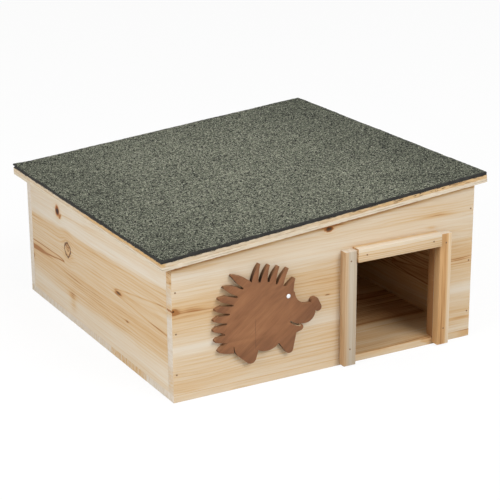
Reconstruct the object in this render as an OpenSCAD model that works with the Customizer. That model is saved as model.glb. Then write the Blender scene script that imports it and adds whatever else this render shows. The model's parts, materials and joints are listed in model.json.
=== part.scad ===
// Hedgehog house: a wooden box with a framed entrance at one side of its front, an inner partition that
// makes a passage, and a felted single-pitch roof that hinges up along its high side for cleaning.
// Lengths are in millimetres. +X runs along the front from the low side to the high side, +Y runs to the
// back, and the origin is on the ground under the middle of the floor board.

/* [House] */
// Outside width of the walls, from the low side to the high side
house_w = 450; // [420:1:560]
// Outside depth of the walls, from front to back
house_d = 468; // [420:1:560]
// Height of the wall tops above the ground at the low side
low_side_h = 178.5; // [172:0.5:240]
// Rise of the wall tops from the low side to the high side
roof_rise = 38.5; // [24:0.5:70]
// Thickness of the four wall boards
wall_t = 14; // [11:0.5:18]
// Thickness of the floor board
floor_t = 10; // [8:0.5:16]

/* [Entrance] */
// Clear width of the entrance
entrance_w = 130; // [110:1:150]
// Clear height of the entrance above the floor board
entrance_h = 133; // [110:1:150]
// Wall left between the entrance and the outside of the high side
entrance_inset = 61; // [50:1:85]
// Width of a jamb batten along the wall
jamb_w = 18; // [12:0.5:22]
// Thickness of a jamb batten, out from the wall
jamb_t = 12; // [8:0.5:16]
// Gap between the ground and a jamb's foot
jamb_foot_gap = 2; // [0.5:0.5:8]
// How far the jamb tops stop below the header's top
jamb_drop = 2; // [0:0.5:6]
// Height of the header batten
header_h = 18; // [14:0.5:24]
// Thickness of the header batten, out from the wall
header_t = 15; // [10:0.5:20]

/* [Partition] */
// Thickness of the inner partition
partition_t = 12; // [9:0.5:16]
// How far the partition's passage face stands clear of the entrance's edge
partition_setback = 6; // [2:0.5:20]
// Doorway between the partition's free end and the back wall
doorway_w = 140; // [120:1:180]
// Gap between the partition's top and the line of the wall tops
partition_top_gap = 5; // [3:0.5:20]

/* [Plaque] */
// Thickness of the hedgehog plaque
plaque_t = 6; // [3:0.5:8]
// Distance from the outside of the low side to the middle of the plaque's body
plaque_inset = 120; // [100:1:135]
// Height of the middle of the plaque's body above the floor board
plaque_lift = 84; // [72:1:88]
// Radius of the plaque's round body
plaque_body_r = 45; // [38:0.5:48]
// How far the longest spines reach beyond the body
spine_reach = 31; // [22:0.5:36]
// Mean width of the back's spines at their roots
spine_w = 16.5; // [13:0.5:20]
// Width of a spine at its tip
spine_tip_w = 2.2; // [1.8:0.1:3]
// Width of the saw cuts that deepen the gaps between the back's spines
kerf_w = 2.4; // [1.6:0.1:3.6]
// Number of spines that stand up along the crest
crest_spines = 4; // [3:1:5]
// Number of spines down the back
back_spines = 8; // [6:1:9]
// Diameter of the eye
eye_d = 6; // [4:0.5:9]
// Clearance round the eye in its hole
eye_gap = 0.1; // [0.05:0.05:0.3]

/* [Roof] */
// Overhang past the low side wall, along the slope
overhang_low = 15; // [8:0.5:40]
// Overhang past the high side wall, along the slope
overhang_high = 14; // [14:0.5:40]
// Overhang past the front wall
overhang_front = 8; // [2:0.5:40]
// Overhang past the back wall
overhang_back = 9; // [2:0.5:40]
// Thickness of the roof board
roof_t = 10; // [8:0.5:15]
// Thickness of the roofing felt
felt_t = 4.5; // [2:0.5:6]
// How far the felt stops short of the board's edges
felt_inset = 0; // [0:0.5:5]
// Gap between the closed roof and the wall tops
roof_gap = 0.3; // [0.1:0.1:1]

/* [Hinges] */
// Length of a hinge along its pin
hinge_l = 40; // [34:1:60]
// Width of a hinge leaf from the pin's axis
hinge_leaf_w = 10.5; // [9:0.5:11]
// Thickness of a hinge leaf
hinge_leaf_t = 1.2; // [0.8:0.1:1.5]
// Outside diameter of the hinge knuckles
knuckle_d = 5; // [4.5:0.25:5.5]
// Diameter of a hinge pin
hinge_pin_d = 2.4; // [1.8:0.1:2.8]
// Diameter of the peened ends of a hinge pin
pin_end_d = 3.6; // [3.2:0.1:4.2]
// Length of a peened end
pin_end_l = 0.8; // [0.4:0.1:1.5]
// Distance from the front or the back of the house to the middle of the nearer hinge
hinge_inset = 90; // [60:1:140]
// Distance from a leaf's end to its nearer screw
hinge_screw_inset = 7; // [5:0.5:10]
// Running clearance between a hinge pin and its knuckles
pin_gap = 0.05; // [0.02:0.01:0.1]
// Gap between neighbouring knuckles
knuckle_gap = 0.4; // [0.2:0.1:0.8]
// Gap between the knuckles and the wood
knuckle_wood_gap = 0.4; // [0.3:0.1:0.8]

/* [Fasteners] */
// Diameter of a hinge screw's shank
screw_d = 2.4; // [2:0.1:2.8]
// Diameter of a hinge screw's head
screw_head_d = 4.6; // [4:0.1:5]
// Length of a hinge screw
screw_l = 8; // [6:0.5:9]
// Clearance round a screw in its leaf
screw_gap = 0.1; // [0.05:0.05:0.3]
// Depth of the cross recess in a screw's head
screw_recess = 0.7; // [0.4:0.1:1]
// Diameter of a brad's shank
brad_d = 1.4; // [1:0.1:2]
// Diameter of a brad's head
brad_head_d = 2.2; // [2:0.1:3]
// Thickness of a brad's head
brad_head_t = 0.8; // [0.4:0.1:1.2]
// How far a brad's head stands proud of the wood
brad_proud = 0.2; // [0.1:0.1:0.5]
// How far a brad driven from below or under a batten is set below the wood's surface
brad_set = 0.3; // [0.1:0.1:1]
// How far a brad bites into the board behind, in the walls and the floor
brad_bite = 18; // [10:1:22]
// How far a brad bites into the wall behind a batten
trim_brad_bite = 8; // [4:0.5:10]
// Distance from a corner's edge to the brads up that corner
corner_brad_edge = 5; // [4:0.5:6]
// Number of brads up each corner of the walls
wall_brad_count = 3; // [2:1:5]
// Distance from a wall's foot to its lowest brad
wall_brad_foot = 27; // [26:1:40]
// Distance from a wall's top to its highest brad
wall_brad_top = 34; // [20:1:50]
// Number of floor brads along a whole wall
floor_brad_count = 4; // [2:1:6]
// Distance from a wall's end to its nearest floor brad
floor_brad_end = 45; // [40:1:80]
// Distance from a jamb's end to its nearer brad
jamb_brad_end = 13; // [8:1:25]
// Distance from the header's end to its nearer brad
header_brad_end = 13; // [8:1:30]

/* [Hidden] */
$fn = 48;

// Colours of the photographed materials
PINE = "#dcc39b";
PINE_TRIM = "#d3b184";
PLYWOOD = "#d9bd8d";
FELT = "#555c50";
STAIN = "#8a5f45";
WHITE = "#f4f2ee";
STEEL = "#b9bcbf";
BRAD_STEEL = "#6d655c";

// How far a cutting tool runs past the face that it cuts
cut_run = 1;

// Blunt end of a brad's or a screw's point, as a share of its shank
point_share = 0.25;

// Width of a slot of the cross recess in a screw's head
screw_recess_w = screw_d * 0.25;

// Outside faces of the walls
x_low = -house_w / 2;
x_high = house_w / 2;
y_front = -house_d / 2;
y_back = house_d / 2;

// Entrance edges and the battens round it
entrance_x0 = x_high - entrance_inset - entrance_w;
entrance_x1 = x_high - entrance_inset;
entrance_top = floor_t + entrance_h;
header_top = entrance_top + header_h;
jamb_top = header_top - jamb_drop;

// Faces of the partition, and its free end
partition_x1 = entrance_x0 - partition_setback;
partition_x0 = partition_x1 - partition_t;
partition_y1 = y_back - wall_t - doorway_w;

// Slope of the roof, and its hinge axis in the corner between the high side wall and the overhang
slope = atan(roof_rise / house_w);
slope_l = house_w / cos(slope);
roof_w = slope_l + overhang_low + overhang_high;
roof_d = house_d + overhang_front + overhang_back;
axis_gap = knuckle_d / 2 + knuckle_wood_gap;
axis_x = x_high + axis_gap;
axis_z = roof_line(axis_x) + (roof_gap - axis_gap) / cos(slope);
hinge_middles = [y_front + hinge_inset, y_back - hinge_inset];
knuckle_l = (hinge_l - 2 * knuckle_gap) / 3;
outer_knuckles = [-knuckle_l - knuckle_gap, knuckle_l + knuckle_gap];
middle_knuckle = [0];
leaf_screw_x = (knuckle_d / 2 + hinge_leaf_w) / 2;
leaf_screw_y = hinge_l / 2 - hinge_screw_inset;

// Places of the brads up the corners and along the walls
corner_brad_xs = [x_low + corner_brad_edge, x_high - corner_brad_edge];
side_wall_xs = [x_low + wall_t / 2, x_high - wall_t / 2];
wall_brad_z0 = floor_t + wall_brad_foot;
wall_brad_l = wall_t + brad_bite;
floor_brad_l = floor_t + brad_bite;

// Height of the wall tops at one place across the front
function roof_line(x) = low_side_h + roof_rise * (x - x_low) / house_w;

// Evenly spread places between two ends
function spread(first, last, count) = [for (i = [0:count - 1]) first + (last - first) * i / (count - 1)];

// Values that run from a first through a middle to a last one along a parabola
function swing(first, middle, last, count) = [
    for (t = spread(0, 1, count))
        first * (1 - t) * (1 - 2 * t) + middle * 4 * t * (1 - t) + last * t * (2 * t - 1)
];

// Heights of the brads up a wall board at one place across the front
function corner_brads(x, top_gap) = spread(wall_brad_z0, roof_line(x) - top_gap, wall_brad_count);

// Unit vector at an angle
function toward(angle) = [cos(angle), sin(angle)];

// A board that stands on the floor board and follows the roof's slope at its top
module sloped_board(x0, x1, y0, y1, top_gap) {
    translate([0, y1, 0])
        rotate([90, 0, 0])
            linear_extrude(y1 - y0)
                polygon([
                    [x0, floor_t],
                    [x1, floor_t],
                    [x1, roof_line(x1) - top_gap],
                    [x0, roof_line(x0) - top_gap]
                ]);
}

// Puts a shape into the roof's frame: x up the slope from the low side wall, z square to the roof
module on_roof() {
    translate([x_low, 0, low_side_h])
        rotate([0, -slope, 0])
            children();
}

// A brad along +Z, with the top of its head at the origin
module brad(length) {
    cylinder(d = brad_head_d, h = brad_head_t);
    cylinder(d = brad_d, h = length - brad_d);
    translate([0, 0, length - brad_d])
        cylinder(d1 = brad_d, d2 = brad_d * point_share, h = brad_d);
}

// A brad driven towards the back, its head proud of a face at y
module brad_back(x, y, z, length, proud) {
    translate([x, y - proud, z])
        rotate([-90, 0, 0])
            brad(length + proud);
}

// A countersunk screw along +Z, with the flat of its head at the origin
module hinge_screw() {
    head_h = (screw_head_d - screw_d) / 2;
    difference() {
        union() {
            cylinder(d1 = screw_head_d, d2 = screw_d, h = head_h);
            translate([0, 0, head_h])
                cylinder(d = screw_d, h = screw_l - head_h - screw_d);
            translate([0, 0, screw_l - screw_d])
                cylinder(d1 = screw_d, d2 = screw_d * point_share, h = screw_d);
        }
        for (turn = [0, 90])
            rotate([0, 0, turn])
                translate([-screw_d / 2, -screw_recess_w / 2, -cut_run])
                    cube([screw_d, screw_recess_w, screw_recess + cut_run]);
    }
}

// A hinge leaf along +X from its pin axis at the origin, screwed to wood that lies above it
module hinge_leaf(knuckle_middles) {
    plate_z = axis_gap - hinge_leaf_t;
    plate_x = knuckle_d / 2 + knuckle_gap;
    difference() {
        union() {
            translate([plate_x, -hinge_l / 2, plate_z])
                cube([hinge_leaf_w - plate_x, hinge_l, hinge_leaf_t]);
            for (y = knuckle_middles) {
                translate([0, y - knuckle_l / 2, plate_z])
                    cube([plate_x + hinge_leaf_t, knuckle_l, hinge_leaf_t]);
                translate([0, y + knuckle_l / 2, 0])
                    rotate([90, 0, 0])
                        cylinder(d = knuckle_d, h = knuckle_l);
            }
        }
        rotate([90, 0, 0])
            cylinder(d = hinge_pin_d + 2 * pin_gap, h = hinge_l + 2 * cut_run, center = true);
        for (y = [-leaf_screw_y, leaf_screw_y])
            translate([leaf_screw_x, y, plate_z])
                leaf_countersink();
    }
}

// The hole for one hinge screw, along +Z from the face of its leaf
module leaf_countersink() {
    mouth_d = screw_head_d + 2 * screw_gap;
    hole_d = screw_d + 2 * screw_gap;
    cone_h = (mouth_d - hole_d) / 2;
    cylinder(d1 = mouth_d, d2 = hole_d, h = cone_h);
    translate([0, 0, -cut_run])
        cylinder(d = hole_d, h = hinge_leaf_t + 2 * cut_run);
}

// The two screws of one leaf, where hinge_leaf() has their holes
module leaf_screws() {
    for (y = [-leaf_screw_y, leaf_screw_y])
        translate([leaf_screw_x, y, axis_gap - hinge_leaf_t])
            hinge_screw();
}

// Puts a leaf along the underside of the roof's overhang, at one hinge
module at_roof_leaf(y) {
    translate([axis_x, y, axis_z])
        rotate([0, -slope, 0])
            children();
}

// Puts a leaf down the outside of the high side wall, at one hinge
module at_wall_leaf(y) {
    translate([axis_x, y, axis_z])
        rotate([0, 90, 0])
            mirror([0, 0, 1])
                children();
}

module wall_leaf(y) {
    at_wall_leaf(y)
        hinge_leaf(outer_knuckles);
}

module roof_leaf(y) {
    at_roof_leaf(y)
        hinge_leaf(middle_knuckle);
}

module hinge_pin(y) {
    translate([axis_x, y, axis_z])
        rotate([90, 0, 0]) {
            cylinder(d = hinge_pin_d, h = hinge_l + 2 * pin_end_l, center = true);
            for (side = [-1, 1])
                translate([0, 0, side * (hinge_l + pin_end_l) / 2])
                    cylinder(d = pin_end_d, h = pin_end_l, center = true);
        }
}

module floor_panel() {
    color(PINE)
        translate([x_low, y_front, 0])
            cube([house_w, house_d, floor_t]);
}

module front_wall() {
    color(PINE)
        difference() {
            sloped_board(x_low, x_high, y_front, y_front + wall_t, 0);
            translate([entrance_x0, y_front - cut_run, floor_t - cut_run])
                cube([entrance_w, wall_t + 2 * cut_run, entrance_h + cut_run]);
        }
}

module back_wall() {
    color(PINE)
        sloped_board(x_low, x_high, y_back - wall_t, y_back, 0);
}

module low_side_wall() {
    color(PINE)
        sloped_board(x_low, x_low + wall_t, y_front + wall_t, y_back - wall_t, 0);
}

module high_side_wall() {
    color(PINE)
        sloped_board(x_high - wall_t, x_high, y_front + wall_t, y_back - wall_t, 0);
}

module partition() {
    color(PINE)
        sloped_board(partition_x0, partition_x1, y_front + wall_t, partition_y1, partition_top_gap);
}

module jamb(x0) {
    color(PINE_TRIM)
        translate([x0, y_front - jamb_t, jamb_foot_gap])
            cube([jamb_w, jamb_t, jamb_top - jamb_foot_gap]);
}

module left_jamb() {
    jamb(entrance_x0 - jamb_w);
}

module right_jamb() {
    jamb(entrance_x1);
}

module entrance_header() {
    color(PINE_TRIM)
        translate([entrance_x0, y_front - header_t, entrance_top])
            cube([entrance_w, header_t, header_h]);
}

// Points along the round end of a limb, and along one side of a spine
arc_steps = 18;
bow_steps = 7;

// Points round an arc
function arc(middle, r, first, last) = [
    for (angle = spread(first, last, arc_steps)) middle + r * toward(angle)
];

// Unit vector to the left of a direction
function left_of(way) = [-way.y, way.x] / norm(way);

// Points along a bow between two ends, as deep as its depth to the left of the way it runs
function bow(from, to, depth) = [
    for (t = spread(0, 1, bow_steps)) from + t * (to - from) + 4 * depth * t * (1 - t) * left_of(to - from)
];

// A rounded limb: two circles of different sizes inside their outer tangents
module limb(from, from_r, to, to_r) {
    reach = to - from;
    heading = atan2(reach.y, reach.x);
    lean = acos((from_r - to_r) / norm(reach));
    polygon(concat(
        arc(from, from_r, heading + lean, heading + 360 - lean),
        arc(to, to_r, heading - lean, heading + lean)
    ));
}

// A bowed spine from a root inside the body to its blunt tip, with sides that swell outwards
module spine(angle, root_r, heading, reach, width, bend, swell) {
    depth = bend * reach;
    bulge = swell * width;
    root_in = -spine_root_share * reach;
    translate(root_r * toward(angle))
        rotate(heading)
            polygon(concat(
                bow([root_in, -width / 2], [reach, -spine_tip_w / 2], depth - bulge),
                bow([reach, spine_tip_w / 2], [root_in, width / 2], -depth - bulge)
            ));
}

// How far a spine's root lies inside the body, and how deep it bows, as shares of its reach
spine_root_share = 0.3;
crest_bend = 0.085;
back_bend = -0.06;

// How far a spine's sides swell, as shares of its width
crest_swell = 0.05;
back_swell = 0.12;
plain_swell = 0;

// The crest's slender spines, from above the body's middle towards the ear
crest_angles = spread(97.5, 49, crest_spines);
crest_headings = spread(78.5, 65.5, crest_spines);
crest_reaches = swing(spine_reach * 0.83, spine_reach * 0.71, spine_reach * 0.82, crest_spines);
crest_w = spine_w * 0.69;

// The back's broad spines, from beside the crest down to the rump, where they shorten and stand further out
back_angles = swing(113.5, 166, 218.5, back_spines);
back_headings = swing(138.5, 173, 185, back_spines);
back_reaches = swing(spine_reach * 0.97, spine_reach * 0.77, spine_reach * 0.53, back_spines);
back_root_rs = swing(plaque_body_r, plaque_body_r * 0.94, plaque_body_r * 1.225, back_spines);
back_ws = spread(spine_w * 0.92, spine_w * 0.98, back_spines);

// The saw cuts in all gaps between the back's spines but the lowest: how far from the body's middle they
// end, their lengths, and how much wider they are at the mouth
kerf_rs = swing(plaque_body_r * 1.08, plaque_body_r, plaque_body_r * 1.19, back_spines - 2);
kerf_ls = spread(plaque_body_r * 0.33, plaque_body_r * 0.22, back_spines - 2);
kerf_flare = 2;

// Rump, belly, head, ear, eye and legs of the plaque, as shares of its body's radius
rump = plaque_body_r * [-0.295, -0.07];
rump_r = plaque_body_r * 0.87;
belly = plaque_body_r * [0.215, -0.52];
belly_r = plaque_body_r * 0.55;
head = plaque_body_r * [0.56, 0.23];
head_r = plaque_body_r * 0.57;
snout = plaque_body_r * [1.47, -0.16];
snout_r = plaque_body_r * 0.32;
brow = plaque_body_r * [1.57, 0.56];
brow_r = plaque_body_r * 0.46;
nose_top = plaque_body_r * [1.77, 0.12];
nose_top_r = plaque_body_r * 0.125;
nose_tip = plaque_body_r * [1.88, -0.08];
nose_tip_r = plaque_body_r * 0.115;
ear_angle = 30.5;
ear_root_r = plaque_body_r * 1.08;
ear_heading = 65.5;
ear_l = plaque_body_r * 0.425;
ear_w = plaque_body_r * 0.475;
mouth_angle = -21;
mouth_root_r = plaque_body_r * 1.31;
mouth_heading = 152;
mouth_l = plaque_body_r * 0.29;
mouth_w = plaque_body_r * 0.06;
eye = plaque_body_r * [0.91, 0.43];
shoulder = plaque_body_r * [1.02, -0.59];
shoulder_r = plaque_body_r * 0.16;
paw = plaque_body_r * [1.3, -0.575];
paw_r = plaque_body_r * 0.095;
fore_hip = plaque_body_r * [0.83, -0.645];
fore_hip_r = plaque_body_r * 0.345;
fore_foot = plaque_body_r * [0.94, -1.165];
fore_foot_r = plaque_body_r * 0.125;
hind_hip = plaque_body_r * [-0.42, -0.755];
hind_hip_r = plaque_body_r * 0.41;
hind_foot = plaque_body_r * [-0.3, -1.185];
hind_foot_r = plaque_body_r * 0.17;

// Where the plaque's round body sits on the front wall
plaque_x = x_low + plaque_inset;
plaque_z = floor_t + plaque_lift;

// The saw cut between two neighbouring spines of the back
module spine_kerf(i) {
    foot = kerf_rs[i] * toward((back_angles[i] + back_angles[i + 1]) / 2);
    mouth = foot + kerf_ls[i] * toward((back_headings[i] + back_headings[i + 1]) / 2);
    limb(foot, kerf_w / 2, mouth, kerf_flare * kerf_w / 2);
}

// The outline: the hollow of the brow, the saw cuts and the mouth are taken out before the turned-up nose
// is added
module plaque_outline() {
    difference() {
        union() {
            circle(plaque_body_r);
            limb([0, 0], plaque_body_r, rump, rump_r);
            translate(belly)
                circle(belly_r);
            for (i = [0:crest_spines - 1])
                spine(crest_angles[i], plaque_body_r, crest_headings[i], crest_reaches[i],
                      crest_w, crest_bend, crest_swell);
            for (i = [0:back_spines - 1])
                spine(back_angles[i], back_root_rs[i], back_headings[i], back_reaches[i],
                      back_ws[i], back_bend, back_swell);
            spine(ear_angle, ear_root_r, ear_heading, ear_l, ear_w, crest_bend, plain_swell);
            limb(head, head_r, snout, snout_r);
            limb(shoulder, shoulder_r, paw, paw_r);
            limb(fore_hip, fore_hip_r, fore_foot, fore_foot_r);
            limb(hind_hip, hind_hip_r, hind_foot, hind_foot_r);
        }
        translate(brow)
            circle(brow_r);
        for (i = [0:back_spines - 3])
            spine_kerf(i);
        spine(mouth_angle, mouth_root_r, mouth_heading, mouth_l, mouth_w, crest_bend, plain_swell);
    }
    limb(nose_top, nose_top_r, nose_tip, nose_tip_r);
}

// Puts a flat shape, drawn in its own x and y, against the outside of the front wall
module on_front_wall(x, z) {
    translate([x, y_front, z])
        rotate([90, 0, 0])
            children();
}

module hedgehog_plaque() {
    color(STAIN)
        on_front_wall(plaque_x, plaque_z)
            difference() {
                linear_extrude(plaque_t)
                    plaque_outline();
                translate([eye.x, eye.y, -cut_run])
                    cylinder(d = eye_d + 2 * eye_gap, h = plaque_t + 2 * cut_run);
            }
}

module plaque_eye() {
    color(WHITE)
        on_front_wall(plaque_x + eye.x, plaque_z + eye.y)
            cylinder(d = eye_d, h = plaque_t);
}

module roof_board() {
    color(PLYWOOD)
        on_roof()
            translate([-overhang_low, y_front - overhang_front, roof_gap])
                cube([roof_w, roof_d, roof_t]);
}

module roof_felt() {
    color(FELT)
        on_roof()
            translate([felt_inset - overhang_low, y_front - overhang_front + felt_inset, roof_gap + roof_t])
                cube([roof_w - 2 * felt_inset, roof_d - 2 * felt_inset, felt_t]);
}

module front_hinge_wall_leaf() {
    color(STEEL)
        wall_leaf(hinge_middles[0]);
}

module front_hinge_roof_leaf() {
    color(STEEL)
        roof_leaf(hinge_middles[0]);
}

module front_hinge_pin() {
    color(STEEL)
        hinge_pin(hinge_middles[0]);
}

module rear_hinge_wall_leaf() {
    color(STEEL)
        wall_leaf(hinge_middles[1]);
}

module rear_hinge_roof_leaf() {
    color(STEEL)
        roof_leaf(hinge_middles[1]);
}

module rear_hinge_pin() {
    color(STEEL)
        hinge_pin(hinge_middles[1]);
}

module wall_leaf_screws() {
    color(STEEL)
        for (y = hinge_middles)
            at_wall_leaf(y)
                leaf_screws();
}

module roof_leaf_screws() {
    color(STEEL)
        for (y = hinge_middles)
            at_roof_leaf(y)
                leaf_screws();
}

module front_wall_brads() {
    color(BRAD_STEEL)
        for (x = corner_brad_xs)
            for (z = corner_brads(x, wall_brad_top))
                brad_back(x, y_front, z, wall_brad_l, brad_proud);
}

module back_wall_brads() {
    color(BRAD_STEEL)
        mirror([0, 1, 0])
            for (x = corner_brad_xs)
                for (z = corner_brads(x, wall_brad_top))
                    brad_back(x, -y_back, z, wall_brad_l, brad_proud);
}

// Brads up through the floor board into the feet of the four walls
module floor_brads() {
    side_ys = spread(y_front + floor_brad_end, y_back - floor_brad_end, floor_brad_count);
    back_xs = spread(x_low + floor_brad_end, x_high - floor_brad_end, floor_brad_count);
    front_xs = spread(x_low + floor_brad_end, entrance_x0 - floor_brad_end, floor_brad_count - 1);
    front_end_x = (entrance_x1 + x_high) / 2;
    places = concat(
        [for (x = side_wall_xs) for (y = side_ys) [x, y]],
        [for (x = back_xs) [x, y_back - wall_t / 2]],
        [for (x = concat(front_xs, [front_end_x])) [x, y_front + wall_t / 2]]
    );
    color(BRAD_STEEL)
        for (place = places)
            translate([place.x, place.y, brad_set])
                brad(floor_brad_l - brad_set);
}

// Brads through the front wall into the end of the partition, behind the left jamb
module partition_brads() {
    x = (partition_x0 + partition_x1) / 2;
    color(BRAD_STEEL)
        for (z = corner_brads(x, wall_brad_top + partition_top_gap))
            brad_back(x, y_front, z, wall_brad_l, -brad_set);
}

module jamb_brads() {
    color(BRAD_STEEL)
        for (x = [entrance_x0 - jamb_w / 2, entrance_x1 + jamb_w / 2])
            for (z = [jamb_foot_gap + floor_t + jamb_brad_end, jamb_top - jamb_brad_end])
                brad_back(x, y_front - jamb_t, z, jamb_t + trim_brad_bite, brad_proud);
}

module header_brads() {
    z = entrance_top + header_h / 2;
    color(BRAD_STEEL)
        for (x = [entrance_x0 + header_brad_end, entrance_x1 - header_brad_end])
            brad_back(x, y_front - header_t, z, header_t + trim_brad_bite, brad_proud);
}

floor_panel();
front_wall();
back_wall();
low_side_wall();
high_side_wall();
partition();
left_jamb();
right_jamb();
entrance_header();
hedgehog_plaque();
plaque_eye();
roof_board();
roof_felt();
front_hinge_wall_leaf();
front_hinge_roof_leaf();
front_hinge_pin();
rear_hinge_wall_leaf();
rear_hinge_roof_leaf();
rear_hinge_pin();
wall_leaf_screws();
roof_leaf_screws();
front_wall_brads();
back_wall_brads();
floor_brads();
partition_brads();
jamb_brads();
header_brads();
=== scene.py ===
import json
import math
import random
from collections import namedtuple

import bmesh
import bpy
from mathutils import Matrix, Vector, noise

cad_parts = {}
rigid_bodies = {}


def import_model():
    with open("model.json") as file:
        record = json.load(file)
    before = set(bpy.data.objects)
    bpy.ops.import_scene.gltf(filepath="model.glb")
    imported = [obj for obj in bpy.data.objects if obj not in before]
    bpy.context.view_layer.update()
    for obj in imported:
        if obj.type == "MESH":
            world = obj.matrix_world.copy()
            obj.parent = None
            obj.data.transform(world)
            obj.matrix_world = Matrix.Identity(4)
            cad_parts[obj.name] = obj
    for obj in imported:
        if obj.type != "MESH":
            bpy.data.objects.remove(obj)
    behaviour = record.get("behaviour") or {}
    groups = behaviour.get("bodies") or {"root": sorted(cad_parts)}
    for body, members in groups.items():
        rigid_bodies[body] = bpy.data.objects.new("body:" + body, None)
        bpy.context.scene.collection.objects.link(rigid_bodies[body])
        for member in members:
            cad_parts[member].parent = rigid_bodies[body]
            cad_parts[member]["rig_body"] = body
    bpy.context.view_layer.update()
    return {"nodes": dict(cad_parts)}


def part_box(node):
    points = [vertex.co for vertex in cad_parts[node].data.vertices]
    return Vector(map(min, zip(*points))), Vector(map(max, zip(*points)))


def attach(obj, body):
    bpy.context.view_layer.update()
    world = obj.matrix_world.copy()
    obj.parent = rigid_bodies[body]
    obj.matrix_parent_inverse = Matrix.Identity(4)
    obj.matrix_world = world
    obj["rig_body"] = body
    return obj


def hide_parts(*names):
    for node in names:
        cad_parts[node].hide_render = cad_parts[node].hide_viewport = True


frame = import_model()
CAD = frame["nodes"]
MM = 0.001
AXIS = {"x": 0, "y": 1, "z": 2}

# Height of the line between the roof board's plies above its underside at the low end, and how fast it
# falls towards the high end
PLY_LINE_MM = 5.8
PLY_FALL = 0.0012

# Middle of the plaque's round body on the front, its mouth's place from there, where its hairline split
# runs, and the heights over which the split starts and ends
PLAQUE_MIDDLE_MM = (-105, 94)
PLAQUE_MOUTH_MM = (50, -19)
SPLIT_X_MM = -112
SPLIT_FOOT_MM = (48, 54)
SPLIT_TOP_MM = (88, 96)

# Height of the front wall's top edge at the middle of the front, and its rise per mm towards the high side
EAVES_MM = 197.75
EAVES_RISE = 38.5 / 450

# Strip under the roof that is darkened with painted shade, from the wall's top edge, and how much darker it
# is
EAVES_SHADE_STRIP_MM = (-9.0, -3.5)
EAVES_SHADE_TONE = 0.55

# Distance from a board's middle within which end grain belongs to a cut inside its length
INNER_ENDS_MM = (195, 215)


# Shader building

def rgb(red, green, blue):
    """A colour given as 0 to 255 display values, as the linear colour that a shader takes."""
    def linear(level):
        share = level / 255
        return share / 12.92 if share <= 0.04045 else ((share + 0.055) / 1.055) ** 2.4
    return (linear(red), linear(green), linear(blue), 1.0)


# How far one step of a seed moves a pattern, in patches along its three axes
SEED_SHIFT = (3.17, 5.71, 1.39)

# Sockets of a Mix node that mixes colours: its share and two colours, and its result
MIX_INPUTS = (0, 6, 7)
MIX_OUTPUT = 2


class Out:
    """One output of a shader node. Sums and products of outputs and numbers add Math nodes."""

    def __init__(self, shade, socket):
        self.shade = shade
        self.socket = socket

    def __add__(self, other):
        return self.shade.math("ADD", self, other)

    def __radd__(self, other):
        return self.shade.math("ADD", other, self)

    def __sub__(self, other):
        return self.shade.math("SUBTRACT", self, other)

    def __rsub__(self, other):
        return self.shade.math("SUBTRACT", other, self)

    def __mul__(self, other):
        return self.shade.math("MULTIPLY", self, other)

    def __rmul__(self, other):
        return self.shade.math("MULTIPLY", other, self)

    def __truediv__(self, other):
        return self.shade.math("DIVIDE", self, other)

    def __abs__(self):
        return self.shade.math("ABSOLUTE", self)


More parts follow.
